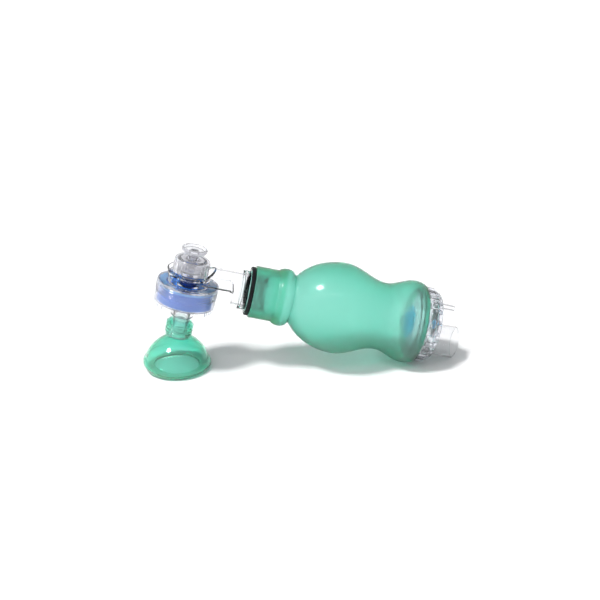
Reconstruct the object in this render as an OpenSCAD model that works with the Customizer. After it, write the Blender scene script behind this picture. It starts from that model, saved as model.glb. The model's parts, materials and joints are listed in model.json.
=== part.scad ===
// Infant bag valve mask: a squeezable silicone bag, a patient valve with pressure relief, a face mask
// and an inlet end. It lies on a table: the bag axis slopes down to the inlet end, and the mask stands
// under the patient valve.

/* [Pose] */
// Slope of the bag axis, down towards the inlet end, in degrees
tilt = 13.4; // [12:0.1:15]
// Lean of the mask dome from vertical, in degrees
mask_lean = 5.2; // [3:0.1:7]

/* [Bag] */
// Radius of the neck sleeve
neck_r = 24.9; // [24.5:0.1:25.3]
// Largest radius of the bead behind the neck sleeve
bead_r = 27.6; // [27:0.1:28.2]
// Smallest radius of the groove between bead and ball
groove_r = 22.9; // [22.5:0.1:23.4]
// Largest radius of the ball
ball_r = 44; // [43:0.1:45]
// Distance of the ball's centre from the valve axis
ball_at = 145.6; // [144:0.1:147]
// Smallest radius of the waist
waist_r = 32.8; // [32:0.1:34]
// Distance of the waist from the valve axis
waist_at = 187.5; // [186:0.5:191]
// Largest radius of the rear bulge
bulge_r = 40.4; // [39.5:0.1:40.5]
// Distance of the rear bulge from the valve axis
bulge_at = 216; // [214:0.5:217]
// Distance of the bag's rear edge from the valve axis
bag_end = 225.5; // [225:0.1:226]
// Thickness of the silicone wall
bag_wall = 2.4; // [2:0.1:3]

/* [Patient valve] */
// Outer radius of the locking ring around the valve membranes
ring_r = 29.3; // [29:0.1:30]
// Height of the top of the locking ring, from the bag axis
ring_top = -2.6; // [-3:0.1:-2.4]
// Height of the bottom of the locking ring
ring_bottom = -22.7; // [-23:0.1:-22]
// Outer radius of the bell's open rim
bell_r = 22; // [21.5:0.1:22.5]
// Outer radius of the bell where it meets the locking ring
bell_foot_r = 18.5; // [18.3:0.1:19]
// Height of the bell's open rim
bell_top = 9.5; // [8.5:0.1:11]
// Outer radius of the tube to the bag
tube_r = 16; // [15.8:0.1:16.2]
// Outer radius of the patient port, a 22 mm male cone
port_r = 11; // [10.9:0.05:11.1]
// Inner radius of the patient port, a 15 mm female cone
port_bore_r = 7.57; // [7.55:0.01:7.6]
// Height of the patient port's open end
port_bottom = -36.5; // [-37:0.1:-36]

/* [Pressure relief] */
// Outer radius of the relief cap
cap_r = 17; // [16.5:0.1:17.5]
// Height of the relief cap's top
cap_top = 21.6; // [21:0.1:22.5]
// Radius of the knob
knob_r = 12; // [11:0.1:13]
// Height of the knob's top face
knob_top = 32; // [31:0.1:33]
// Number of flutes around the cap
cap_flutes = 18; // [12:1:24]

/* [Mask] */
// Largest radius of the mask's cushion
cushion_r = 32.9; // [32:0.1:34]
// Radius of the cushion's round edge
cushion_tube = 6.8; // [6:0.1:7.5]
// Radius of the ribbed collar
collar_r = 13.1; // [12.5:0.1:13.5]
// Distance of the mask's centre on the table from the valve centre
mask_back = 15.8; // [15:0.1:17]

/* [Inlet end] */
// Outer radius of the finned retaining ring
rear_ring_r = 36.8; // [36.4:0.1:37]
// Number of fins on the retaining ring
rear_fins = 20; // [16:2:24]
// Distance of the retaining ring's rear face from the valve axis
rear_end = 240.2; // [239.5:0.1:241]
// Outer radius of the reservoir tube
reservoir_r = 16; // [15.8:0.1:16.2]
// Distance of the reservoir tube's open end from the valve axis
reservoir_end = 267; // [265:0.5:270]
// Distance of the reservoir tube's axis below the bag axis
reservoir_drop = 12.9; // [12:0.1:13.2]
// Outer radius of the oxygen nipple
nipple_r = 2.9; // [2.8:0.05:3]
// Distance of the oxygen nipple's tip from the valve axis
nipple_end = 257.3; // [256:0.5:259]
// Height of the oxygen nipple above the bag axis
nipple_rise = 22; // [21.5:0.1:22.5]
// Radius of the blue inlet flap
flap_r = 16; // [15:0.1:17]

/* [Hidden] */

$fn = 96;
eps = 0.01;
wall = 1.8;             // rigid clear plastic
thin_wall = 1.4;
running_gap = 0.07;     // radial gap where one piece turns or slides in another
part_gap = 0.1;         // between pieces that stay together

clear = [0.86, 0.9, 0.93, 0.35];
green = [0.3, 0.78, 0.65, 0.7];
pale_blue = [0.25, 0.45, 0.9];
deep_blue = [0.05, 0.16, 0.6];
black = [0.03, 0.04, 0.04];
steel = [0.65, 0.66, 0.68];

// Bag outline along its axis
neck_start = 60.4;
neck_bore_r = 21.2;
neck_bore_end = 86;
bead_at = 89.8;
bead_half = 8;
groove_at = 99;
ball_half = 53.5;
edge_round = 2;
outline_step = 2.5;
rear_mouth_r = 31.2;
rear_lip_t = 3;
bulge_drop = 2.4;       // how much the bulge narrows towards the rear edge

// Patient valve, heights from the bag axis
flange_t = 2;
deck_top = 6;
deck_t = 1.6;
chimney_r = 11;
chimney_bore_r = 9.2;
chimney_top = bell_top;
chimney_bottom = -6;
seat_hole_r = 5;
seat_t = 1.5;
carrier_r = ring_r - wall - part_gap;
carrier_plate_top = ring_top - flange_t - 2.2;
carrier_plate_t = 1.7;
carrier_hole_r = 9.5;
lip_r = 18;
lip_t = 1.2;
lip_travel = 1.2;
lip_top = carrier_plate_top - carrier_plate_t - 0.2;
bill_r = 6;
bill_drop = 5;
exhale_seat_top = lip_top - lip_t - lip_travel - 0.2;
exhale_seat_r = 13;
lower_plate_top = -19.4;
tooth_drop = 3.4;
tooth_step = 14;

// Tube between valve and bag
tube_bore_r = tube_r - wall;
tube_floor = ring_top + 3.2;
full_tube_start = 42;
stop_collar_at = 48.6;
stop_collar_r = 18.7;
tube_end = 74;
seal_at = 65;
clip_at = 70.5;
ring_groove_depth = 1.1;
ring_groove_w = 2;

// Connector in the bag's neck
connector_start = 50.6;
connector_flange_at = 56;
connector_barrel_r = neck_bore_r - part_gap;
connector_end = 85;
oring_r = 23.3;
oring_w = 4.2;

// Pressure relief, heights from the bag axis
poppet_r = 7.6;
poppet_t = 3.8;
stem_r = 3.2;
stem_bottom = 12.6;
stem_collar_r = 5;
stem_collar_t = 1.8;
knob_t = 4.4;
boss_r = 5.6;
spring_r = 4.9;
spring_wire_r = 0.45;
spring_turns = 6;

// Inlet end
inlet_front = 218.5;
inlet_plate_t = 2;
inlet_barrel_r = rear_mouth_r - part_gap;
inlet_flange_r = 34;
inlet_flange_at = 220.1;
inlet_flange_t = 1.6;
flap_t = 1.4;
flap_hub_r = 9;
flap_hub_t = 3;
flap_travel = 2.5;
pin_r = 2;
adapter_front = 235.6;
adapter_t = 2.2;
vent_r = 4.5;
vent_stem_r = 0.93;
vent_y = 19;
vent_up = 9;
ring_cone_at = 234;
ring_cone_r = 33;
lock_lip_t = 1.2;
nipple_seat_r = nipple_r - 0.7;

// How far a point at distance u and radius r lies below the valve centre
function drop(u, r) = u * sin(tilt) + r * cos(tilt);
// Height of the valve centre: the bulge, the retaining ring or the reservoir tube rests on the table
axis_z = max(concat(
    [for (u = [waist_at : 0.25 : bag_end - edge_round]) drop(u, bag_r(u))],
    [drop(ring_cone_at, rear_ring_r), drop(reservoir_end, reservoir_drop + reservoir_r)]
));
// The object's length runs from the mask cushion's far side to the upper edge of the reservoir tube
reach_front = mask_back + cushion_r;
reach_rear = reservoir_end * cos(tilt) + (reservoir_r - reservoir_drop) * sin(tilt);
axis_x = -(reach_rear - reach_front) / 2;

function bell_radius(z) = bell_foot_r + (bell_r - bell_foot_r) * (z - ring_top) / (bell_top - ring_top);
function blend(a, b, t) = a + (b - a) * (1 - cos(180 * t)) / 2;
function ellipse_r(r, half, at, u) = r * sqrt(max(0, 1 - pow((u - at) / half, 2)));
function bead(u) = groove_r + ellipse_r(bead_r - groove_r, bead_half, bead_at, u);

// Outer radius of the bag at distance u from the valve axis
function bag_r(u) =
    u < bead_at ? max(neck_r, bead(u)) :
    u < groove_at ? max(bead(u), ellipse_r(ball_r, ball_half, ball_at, u)) :
    u < ball_at ? max(groove_r, ellipse_r(ball_r, ball_half, ball_at, u)) :
    u < waist_at ? blend(ball_r, waist_r, (u - ball_at) / (waist_at - ball_at)) :
    u < bulge_at ? blend(waist_r, bulge_r, (u - waist_at) / (bulge_at - waist_at)) :
    bulge_r - bulge_drop * pow((u - bulge_at) / (bag_end - bulge_at), 2);

// Puts a piece modelled around the valve centre, bag axis along +X, into its place on the table
module in_place() {
    translate([axis_x, 0, axis_z]) rotate([0, tilt, 0]) children();
}

// Puts a piece modelled around +Z onto the bag axis, height = distance from the valve axis
module on_bag_axis() {
    in_place() rotate([0, 90, 0]) children();
}

// Ring between two radii and two heights
module tube(r_out, r_in, low, high) {
    translate([0, 0, low]) difference() {
        cylinder(r = r_out, h = high - low);
        translate([0, 0, -1]) cylinder(r = r_in, h = high - low + 2);
    }
}

module disc(r, low, high) {
    translate([0, 0, low]) cylinder(r = r, h = high - low);
}

// O-ring: round section of radius section_r around a circle of radius centre_r
module o_ring(centre_r, section_r, at) {
    translate([0, 0, at]) rotate_extrude() translate([centre_r, 0]) circle(r = section_r, $fn = 32);
}

// Repeats a piece evenly around the axis
module around(count) {
    for (i = [0 : count - 1]) rotate([0, 0, i * 360 / count]) children();
}

// ---- Pressure relief ----

module popoff_knob() {
    rim_w = 2.6;
    dish_depth = 1.6;
    color(clear) in_place() {
        difference() {
            disc(knob_r, knob_top - knob_t, knob_top);
            disc(knob_r - rim_w, knob_top - dish_depth, knob_top + 1);
            translate([0, 0, knob_top - knob_t]) rotate_extrude()
                translate([knob_r, 0]) circle(r = 1.4, $fn = 32);
        }
        disc(stem_r, stem_bottom + eps, knob_top - knob_t + eps);
        disc(stem_collar_r, stem_bottom, stem_bottom + stem_collar_t);
    }
}

module popoff_cap() {
    shoulder = 3.5;
    roof_t = 1.8;
    skirt_low = deck_top + part_gap;
    boss_low = stem_bottom + stem_collar_t + part_gap;
    sleeve_r = chimney_r + 1.7;
    flute_r = 1.1;
    vents = 6;
    color(clear) in_place() difference() {
        union() {
            rotate_extrude() difference() {
                union() {
                    translate([0, skirt_low]) square([cap_r, cap_top - shoulder - skirt_low]);
                    translate([0, cap_top - shoulder - eps]) square([cap_r - shoulder, shoulder + eps]);
                    translate([cap_r - shoulder, cap_top - shoulder]) circle(r = shoulder);
                }
                translate([-cap_r, skirt_low - 1]) square([cap_r, cap_top]);
                translate([0, skirt_low - 1])
                    square([cap_r - wall, cap_top - roof_t - shoulder - skirt_low + 1]);
                translate([0, cap_top - roof_t - shoulder - 1])
                    square([cap_r - wall - shoulder, shoulder + 1]);
                translate([cap_r - wall - shoulder, cap_top - roof_t - shoulder]) circle(r = shoulder);
            }
            tube(boss_r, stem_r + running_gap, boss_low, cap_top + 2);
            tube(sleeve_r, chimney_r + part_gap, skirt_low, cap_top - roof_t + eps);
        }
        disc(stem_r + running_gap, 0, cap_top + 3);
        around(cap_flutes) translate([cap_r + 0.5, 0, skirt_low - 1])
            cylinder(r = flute_r, h = cap_top - shoulder - skirt_low, $fn = 24);
        around(vents) translate([0, -2, skirt_low - 1]) cube([cap_r + 1, 4, 3]);
    }
}

module popoff_cap_seal() {
    low = chimney_top + eps;
    color(black) in_place() tube(chimney_r - part_gap, chimney_bore_r + part_gap, low, low + 0.9);
}

// Helix swept by an eight-sided wire
module popoff_spring() {
    low = chimney_bottom + seat_t + part_gap + poppet_t + spring_wire_r + 0.1;
    high = stem_bottom - spring_wire_r - 0.1;
    sides = 8;
    steps_per_turn = 20;
    steps = spring_turns * steps_per_turn;
    function ring(i) = let (a = 360 * i / steps_per_turn, z = low + (high - low) * i / steps)
        [for (k = [0 : sides - 1]) let (b = 360 * k / sides, r = spring_r + spring_wire_r * cos(b))
            [r * cos(a), r * sin(a), z + spring_wire_r * sin(b)]];
    points = [for (i = [0 : steps]) each ring(i)];
    sides_faces = [for (i = [0 : steps - 1], k = [0 : sides - 1]) let (n = (k + 1) % sides)
        [i * sides + k, (i + 1) * sides + k, (i + 1) * sides + n, i * sides + n]];
    start_cap = [for (k = [0 : sides - 1]) k];
    end_cap = [for (k = [sides - 1 : -1 : 0]) steps * sides + k];
    color(steel) in_place()
        polyhedron(points, concat(sides_faces, [start_cap, end_cap]), convexity = 8);
}

module popoff_poppet() {
    low = chimney_bottom + seat_t + part_gap;
    hub_r = 3.6;
    guide_r = 2.2;
    guide_top = 7.4;
    color(deep_blue) in_place() {
        disc(poppet_r, low, low + 2);
        disc(poppet_r - 1.4, low + 2 - eps, low + poppet_t);
        disc(hub_r, low + poppet_t - eps, low + poppet_t + 2);
        disc(guide_r, low + poppet_t, guide_top);
    }
}

// ---- Patient valve ----

// Half-round shape over the locking ring, which becomes a full round one behind the step
module tube_shape(r, start, floor_z, step_at, end) {
    intersection() {
        rotate([0, 90, 0]) disc(r, start, end);
        union() {
            translate([start - 1, -2 * r, floor_z]) cube([end - start + 2, 4 * r, 3 * r]);
            translate([step_at, -2 * r, -2 * r]) cube([end, 4 * r, 4 * r]);
        }
    }
}

// Flared cup of the bell, shrunk by inset
module bell_shape(inset, low, high) {
    translate([0, 0, low])
        cylinder(r1 = bell_radius(low) - inset, r2 = bell_radius(high) - inset, h = high - low);
}

module upper_housing() {
    flange_low = ring_top - flange_t;
    deck_low = deck_top - deck_t;
    over_tube = tube_r + 2;
    color(clear) in_place() difference() {
        union() {
            bell_shape(0, flange_low, bell_top);
            disc(carrier_r, flange_low, ring_top - part_gap);
            tube_shape(tube_r, chimney_r, tube_floor, full_tube_start, tube_end);
            rotate([0, 90, 0]) disc(stop_collar_r, stop_collar_at, stop_collar_at + wall);
        }
        // open cup around the relief cap, with the relief chimney in it
        difference() {
            bell_shape(wall, deck_top, over_tube);
            disc(chimney_r, deck_top - 1, chimney_top);
        }
        // chamber under the deck, around the chimney
        difference() {
            bell_shape(wall, flange_low - 1, deck_low);
            disc(chimney_r, flange_low - 2, deck_top);
        }
        // the tube's bore, which meets the chamber under the deck and stops at the bell above it
        difference() {
            tube_shape(tube_bore_r, chimney_r + 2, tube_floor + thin_wall,
                full_tube_start + thin_wall, tube_end + 1);
            bell_shape(0, deck_low, over_tube);
        }
        disc(chimney_bore_r, chimney_bottom + seat_t, over_tube);
        // grooves for the swivel seal and the snap clip
        for (at = [seal_at, clip_at]) rotate([0, 90, 0])
            tube(tube_r + 1, tube_r - ring_groove_depth, at, at + ring_groove_w);
    }
    // lower end of the chimney with the relief seat
    color(clear) in_place() difference() {
        disc(chimney_r, chimney_bottom, flange_low + 1);
        disc(chimney_bore_r, chimney_bottom + seat_t, chimney_top + 1);
        disc(seat_hole_r, chimney_bottom - 1, 0);
    }
}

module valve_gasket() {
    width = 6.2;
    r = carrier_r - 0.6;
    color(pale_blue) in_place()
        tube(r, r - width, carrier_plate_top + eps, ring_top - flange_t - eps);
}

module valve_carrier() {
    plate_low = carrier_plate_top - carrier_plate_t;
    slots = 8;
    color(pale_blue) in_place() difference() {
        union() {
            tube(carrier_r, carrier_hole_r, plate_low, carrier_plate_top);
            tube(carrier_r, carrier_r - wall, ring_bottom + lock_lip_t + part_gap, plate_low + eps);
            tube(carrier_hole_r + 1.2, carrier_hole_r, plate_low, carrier_plate_top + 0.8);
        }
        around(slots) translate([carrier_r - wall - 1, -3, ring_bottom + 3]) cube([wall + 2, 6, 4]);
    }
}

module lip_valve() {
    low = lip_top - lip_t;
    slit = 0.4;
    color(deep_blue) in_place() difference() {
        union() {
            disc(lip_r, low, lip_top);
            translate([0, 0, low - bill_drop]) cylinder(r1 = 2.5, r2 = bill_r, h = bill_drop + eps);
        }
        translate([0, 0, low - bill_drop + 1.2]) cylinder(r1 = 1.4, r2 = bill_r - 1, h = bill_drop);
        translate([-2, -slit / 2, low - bill_drop - 1]) cube([4, slit, 4]);
    }
}

module locking_ring() {
    ridge_r = 0.5;
    ridge_step = 2.4;
    first_ridge = ring_top - 2.2;
    ridges = 4;
    lip_in = 24.6;
    teeth_half = 3;
    tooth_w = 2;
    tooth_t = wall - 0.2;
    color(clear) in_place() {
        difference() {
            union() {
                disc(ring_r - ridge_r, ring_bottom, ring_top);
                for (i = [0 : ridges - 1])
                    o_ring(ring_r - ridge_r, ridge_r, first_ridge - i * ridge_step);
            }
            disc(ring_r - wall, ring_bottom + lock_lip_t, ring_top + 1);
            disc(lip_in, ring_bottom - 1, ring_top);
        }
        for (side = [0, 180], i = [-teeth_half : teeth_half]) rotate([0, 0, side + i * tooth_step])
            translate([ring_r - ridge_r - wall, -tooth_w / 2, ring_bottom - tooth_drop])
                cube([tooth_t, tooth_w, tooth_drop + lock_lip_t / 2]);
    }
}

module lower_housing() {
    outer_r = carrier_r - wall - part_gap;
    plate_low = ring_bottom + lock_lip_t + part_gap;
    windows = 6;
    window_w = 8;
    seat_h = 4;
    cone_low = -27;
    cone_h = plate_low - cone_low + eps;
    color(clear) in_place() difference() {
        union() {
            // port and its flared exhalation seat
            disc(port_r, port_bottom, exhale_seat_top - seat_h / 2);
            translate([0, 0, exhale_seat_top - seat_h])
                cylinder(r1 = port_r, r2 = exhale_seat_r, h = seat_h);
            // base plate that the locking ring lifts, with exhaust windows
            tube(outer_r, port_r - 1, plate_low, lower_plate_top);
            tube(outer_r, outer_r - thin_wall, plate_low, exhale_seat_top);
            translate([0, 0, cone_low]) cylinder(r1 = port_r + 0.6, r2 = port_r + 3, h = cone_h);
        }
        disc(port_bore_r, port_bottom - 1, exhale_seat_top + 1);
        translate([0, 0, exhale_seat_top - seat_h + 1])
            cylinder(r1 = port_bore_r, r2 = exhale_seat_r - thin_wall, h = seat_h - 1 + eps);
        around(windows) translate([port_r + 5, -window_w / 2, ring_bottom]) cube([6, window_w, 5]);
    }
}

// ---- Swivel between valve and bag ----

// Fills a groove of the tube, whose front edge is at the given distance
module groove_ring(at) {
    proud = 0.03;
    inner_r = tube_r - ring_groove_depth + part_gap;
    tube(tube_r + proud, inner_r, at + part_gap, at + ring_groove_w - part_gap);
}

module swivel_seal() {
    color(black) on_bag_axis() groove_ring(seal_at);
}

// Split snap clip that keeps the tube in the connector
module swivel_clip() {
    split_w = 6;
    color(steel) on_bag_axis() difference() {
        groove_ring(clip_at);
        translate([0, -split_w / 2, clip_at - 1]) cube([tube_r + 2, split_w, ring_groove_w + 2]);
    }
}

module neck_connector() {
    bore_r = tube_r + running_gap;
    clip_room = 2;
    color(clear) on_bag_axis() difference() {
        union() {
            disc(stop_collar_r, connector_start, connector_flange_at + eps);
            disc(connector_barrel_r - part_gap, connector_flange_at, connector_end);
        }
        disc(bore_r, connector_start - 1, tube_end + 1);
        disc(bore_r + clip_room, tube_end + 1 - eps, connector_end + 1);
    }
}

module neck_oring() {
    color(black) on_bag_axis() rotate_extrude() {
        section_r = (oring_r - connector_barrel_r) / 2;
        middle = neck_start - part_gap - oring_w / 2;
        for (side = [-1, 1]) translate([oring_r - section_r, middle + side * (oring_w / 2 - section_r)])
            circle(r = section_r - eps, $fn = 32);
        translate([connector_barrel_r + eps, middle - oring_w / 2 + section_r])
            square([2 * section_r - 2 * eps, oring_w - 2 * section_r]);
    }
}

// ---- Bag ----

module bag() {
    last = bag_end - edge_round;
    inner_end = bag_end - rear_lip_t;
    mouth_round = 0.6;
    stations = [for (u = [neck_start + outline_step : outline_step : last]) u];
    outer = concat(
        [[neck_bore_r, neck_start], [neck_r - mouth_round, neck_start], [neck_r, neck_start + mouth_round]],
        [for (u = stations) [bag_r(u), u]],
        [for (a = [0 : 15 : 90]) [bag_r(last) - edge_round * (1 - cos(a)), last + edge_round * sin(a)]]
    );
    inner_stations = [for (u = [inner_end : -outline_step : neck_bore_end + 4]) u];
    inner = concat(
        [[rear_mouth_r, bag_end], [rear_mouth_r, inner_end]],
        [for (u = inner_stations) [bag_r(u) - bag_wall, u]],
        [[neck_bore_r, neck_bore_end]]
    );
    color(green) on_bag_axis() rotate_extrude() polygon(concat(outer, inner));
}

// ---- Inlet end ----

module inlet_gasket() {
    front = inlet_flange_at + inlet_flange_t + eps;
    color(black) on_bag_axis()
        tube(inlet_flange_r - 0.6, inlet_barrel_r + part_gap, front, bag_end - rear_lip_t - eps);
}

module inlet_body() {
    windows = 6;
    window_r = flap_r / 4 - 0.6;
    color(clear) on_bag_axis() difference() {
        union() {
            disc(inlet_barrel_r, inlet_front, adapter_front - part_gap);
            disc(inlet_flange_r, inlet_flange_at, inlet_flange_at + inlet_flange_t);
        }
        disc(inlet_barrel_r - wall, inlet_front + inlet_plate_t, adapter_front);
        disc(pin_r, inlet_front - 1, inlet_front + inlet_plate_t + 1);
        // windows that the flap covers
        around(windows) translate([flap_r / 2 + 1, 0, inlet_front - 1])
            cylinder(r = window_r, h = inlet_plate_t + 2);
    }
}

module inlet_flap() {
    top = inlet_front - part_gap;
    color(pale_blue) on_bag_axis() difference() {
        union() {
            disc(flap_r, top - flap_t, top);
            disc(flap_hub_r, top - flap_t - flap_hub_t, top);
        }
        disc(pin_r + running_gap, top - flap_t - flap_hub_t - 1, top + 1);
    }
}

module inlet_flap_pin() {
    head_t = 1.6;
    foot_t = 1.2;
    flap_room = part_gap + flap_t + flap_hub_t + flap_travel + 0.8;
    head_low = inlet_front - flap_room - head_t;
    plate_back = inlet_front + inlet_plate_t;
    color(clear) on_bag_axis() {
        disc(pin_r - 0.02, head_low, plate_back + foot_t);
        disc(pin_r + 2.2, head_low, head_low + head_t);
        disc(pin_r + 1.4, plate_back + eps, plate_back + foot_t);
    }
}

module retaining_ring() {
    front = bag_end + part_gap;
    bore_r = inlet_barrel_r + part_gap;
    lip_r = inlet_barrel_r - 0.6;
    lip_at = rear_end - 1.2;
    pocket_depth = 2;
    pocket_share = 0.62;
    pocket_w = 2 * rear_ring_r * sin(180 / rear_fins) * pocket_share;
    color(clear) on_bag_axis() difference() {
        rotate_extrude() polygon([
            [bore_r, front], [rear_ring_r, front], [rear_ring_r, ring_cone_at], [ring_cone_r, rear_end],
            [lip_r, rear_end], [lip_r, lip_at], [bore_r, lip_at]
        ]);
        // pockets between the fins, deeper towards the rear
        around(rear_fins) translate([rear_ring_r - pocket_depth, -pocket_w / 2, front + 1.6])
            cube([2 * pocket_depth, pocket_w, rear_end]);
        around(rear_fins) translate([ring_cone_r - 0.4, -pocket_w / 2, ring_cone_at + 0.8])
            cube([3 * pocket_depth, pocket_w, rear_end]);
    }
}

module reservoir_adapter() {
    low = adapter_front;
    high = adapter_front + adapter_t;
    lead_in = 0.8;
    stop_r = reservoir_r + 0.5;
    color(clear) on_bag_axis() difference() {
        union() {
            disc(inlet_barrel_r, low, high);
            translate([reservoir_drop, 0, 0]) disc(reservoir_r, low, reservoir_end);
            translate([reservoir_drop, 0, 0]) disc(stop_r, low, rear_end + 2);
            translate([-nipple_rise, 0, 0]) disc(nipple_r + 1.6, low, rear_end + 2);
        }
        translate([reservoir_drop, 0, 0]) disc(reservoir_r - wall, low - 1, reservoir_end + 1);
        translate([reservoir_drop, 0, reservoir_end - lead_in])
            cylinder(r1 = reservoir_r - wall, r2 = reservoir_r - wall + lead_in, h = lead_in + eps);
        translate([-nipple_rise, 0, 0]) disc(nipple_seat_r + 0.02, low - 1, rear_end + 3);
        // a stem hole and four air holes under each small flap
        for (side = [-1, 1]) translate([-vent_up, side * vent_y, 0]) {
            disc(vent_stem_r + running_gap, low - 1, high + 1);
            around(4) translate([vent_r * 0.62, 0, 0]) disc(0.9, low - 1, high + 1);
        }
    }
}

// Small umbrella flap: a thin disc and the stem that runs in the plate
module vent_flap(face, outward) {
    disc_t = 0.8;
    gap = 0.15;
    stem_past = 1.9;
    barb_r = 1.5;
    barb_t = 0.4;
    low = outward > 0 ? face + gap : face - gap - disc_t;
    stem_low = outward > 0 ? adapter_front - stem_past : low;
    stem_high = outward > 0 ? low : adapter_front + adapter_t + stem_past;
    barb_low = outward > 0 ? stem_low - eps : stem_high - barb_t;
    disc(vent_r, low, low + disc_t);
    disc(vent_stem_r, stem_low, stem_high + eps);
    disc(barb_r, barb_low, barb_low + barb_t + eps);
}

module air_intake_flap() {
    color(pale_blue) on_bag_axis() translate([-vent_up, -vent_y, 0]) vent_flap(adapter_front, -1);
}

module relief_flap() {
    color(pale_blue) on_bag_axis() translate([-vent_up, vent_y, 0])
        vent_flap(adapter_front + adapter_t, 1);
}

module oxygen_nipple() {
    bore_r = 1.5;
    tip = 1.6;
    color(clear) on_bag_axis() translate([-nipple_rise, 0, 0]) difference() {
        union() {
            disc(nipple_seat_r, adapter_front, nipple_end - tip);
            translate([0, 0, nipple_end - tip - eps])
                cylinder(r1 = nipple_r, r2 = nipple_r - 0.7, h = tip);
            disc(nipple_r, rear_end + 2 + part_gap, nipple_end - tip);
        }
        disc(bore_r, adapter_front - 1, nipple_end + 1);
    }
}

// ---- Mask ----

collar_top = port_bottom - 1.4;
collar_neck_r = 8.6;
collar_bottom = -57.5;
mask_z = collar_bottom * cos(tilt) + axis_z;
dome_top = mask_z + 1;
dome_wall = 2;
dome_r = 30.8;
join_z = 8;
mask_stem_r = port_bore_r - running_gap;
stem_bead_r = mask_stem_r + 1;
stem_bead_at = -50;
stem_bead_h = 2;

// Puts a piece modelled around +Z, table at z = 0, under the patient port with the dome's lean
module mask_place() {
    translate([axis_x - mask_back, 0, 0]) rotate([0, mask_lean, 0]) children();
}

module above_table() {
    intersection() {
        children();
        translate([axis_x - 100, -100, 0]) cube([200, 200, 200]);
    }
}

module mask_connector() {
    stem_top = port_bottom + 10.5;
    stem_t = 1.6;
    color(clear) in_place() difference() {
        union() {
            disc(mask_stem_r, collar_bottom + 2, stem_top);
            disc(stem_bead_r, stem_bead_at, stem_bead_at + stem_bead_h);
        }
        disc(mask_stem_r - stem_t, collar_bottom, stem_top + 1);
    }
}

// Ribbed collar along the port axis, with a narrow mouth, which stands on the dome
module mask_collar() {
    ribs = 4;
    rib_step = 2.8;
    rib_r = 1.2;
    first_rib = -45.3;
    shoulder_top = -41.8;
    shoulder_h = 2.8;
    barrel_r = collar_r - 1;
    color(green) difference() {
        in_place() difference() {
            union() {
                disc(collar_neck_r, collar_bottom, collar_top);
                translate([0, 0, shoulder_top - shoulder_h])
                    cylinder(r1 = barrel_r, r2 = barrel_r - 2, h = shoulder_h);
                disc(barrel_r, collar_bottom, shoulder_top - shoulder_h + eps);
                for (i = [0 : ribs - 1]) o_ring(collar_r - rib_r, rib_r, first_rib - i * rib_step);
            }
            disc(mask_stem_r + part_gap, collar_bottom - 1, collar_top + 1);
            disc(stem_bead_r + part_gap, stem_bead_at - part_gap, stem_bead_at + stem_bead_h + part_gap);
        }
        mask_place() dome_shape(-eps, join_z);
    }
}

module mask_dome() {
    color(green) difference() {
        mask_place() dome_shape(0, join_z);
        in_place() disc(mask_stem_r + part_gap, collar_bottom - 12, collar_top);
        mask_place() dome_shape(dome_wall, join_z - 1);
    }
}

// Dome profile, shrunk by inset: a rounded cone that stands on the cushion's shoulder
module dome_shape(inset, low) {
    fullness = 1.18;
    cap_h = dome_top - low - inset;
    cap = [for (a = [0 : 6 : 84])
        [(dome_r - inset) * pow(cos(a), fullness), low + cap_h * pow(sin(a), fullness)]];
    rotate_extrude() polygon(concat([[0, low]], cap, [[0, low + cap_h]]));
}

module mask_cushion() {
    centre_r = cushion_r - cushion_tube;
    color(green) above_table() mask_place() difference() {
        rotate_extrude() translate([centre_r, cushion_tube - 1]) circle(r = cushion_tube, $fn = 64);
        dome_shape(-part_gap, join_z - part_gap);
    }
}

popoff_knob();
popoff_cap();
popoff_cap_seal();
popoff_spring();
popoff_poppet();
upper_housing();
valve_gasket();
valve_carrier();
lip_valve();
locking_ring();
lower_housing();
swivel_seal();
swivel_clip();
neck_connector();
neck_oring();
bag();
inlet_gasket();
inlet_body();
inlet_flap();
inlet_flap_pin();
retaining_ring();
reservoir_adapter();
air_intake_flap();
relief_flap();
oxygen_nipple();
mask_connector();
mask_collar();
mask_dome();
mask_cushion();
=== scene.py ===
"""Looks of the infant bag valve mask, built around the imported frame.

Pieces are modelled in millimetres in a local frame, and placed by the frame's joints:
VALVE has X along the bag axis and Z up the valve axis, BAG has Z along the bag axis and X down,
and MASK stands on the table under the patient port with the dome's lean.
"""
import json
import math

import bmesh
import bpy
from mathutils import Matrix, Vector


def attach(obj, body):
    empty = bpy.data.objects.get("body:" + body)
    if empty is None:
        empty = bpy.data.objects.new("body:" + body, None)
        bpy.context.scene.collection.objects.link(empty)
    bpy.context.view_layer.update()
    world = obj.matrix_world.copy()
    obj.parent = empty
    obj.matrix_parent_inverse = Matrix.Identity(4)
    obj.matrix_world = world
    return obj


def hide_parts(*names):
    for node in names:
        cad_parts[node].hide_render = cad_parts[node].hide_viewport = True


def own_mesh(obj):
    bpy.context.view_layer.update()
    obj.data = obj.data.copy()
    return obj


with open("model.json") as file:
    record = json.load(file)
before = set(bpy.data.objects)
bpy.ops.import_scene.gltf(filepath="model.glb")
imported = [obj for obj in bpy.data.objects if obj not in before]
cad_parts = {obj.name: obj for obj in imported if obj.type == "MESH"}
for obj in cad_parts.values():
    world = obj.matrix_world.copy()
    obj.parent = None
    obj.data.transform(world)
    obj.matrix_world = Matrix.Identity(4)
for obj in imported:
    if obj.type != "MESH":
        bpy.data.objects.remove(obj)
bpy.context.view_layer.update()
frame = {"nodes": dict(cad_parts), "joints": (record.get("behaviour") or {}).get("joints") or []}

# ---- Places ----

MM = 0.001
# How far the middle of the mask's foot lies from the valve's centre, away from the bag
MASK_BACK = 15.8
MASK_LEAN = math.radians(5.2)
joints = {joint["name"]: joint for joint in frame["joints"]}


def axis_of(joint):
    return Vector(joint["axis"]).normalized()


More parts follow.
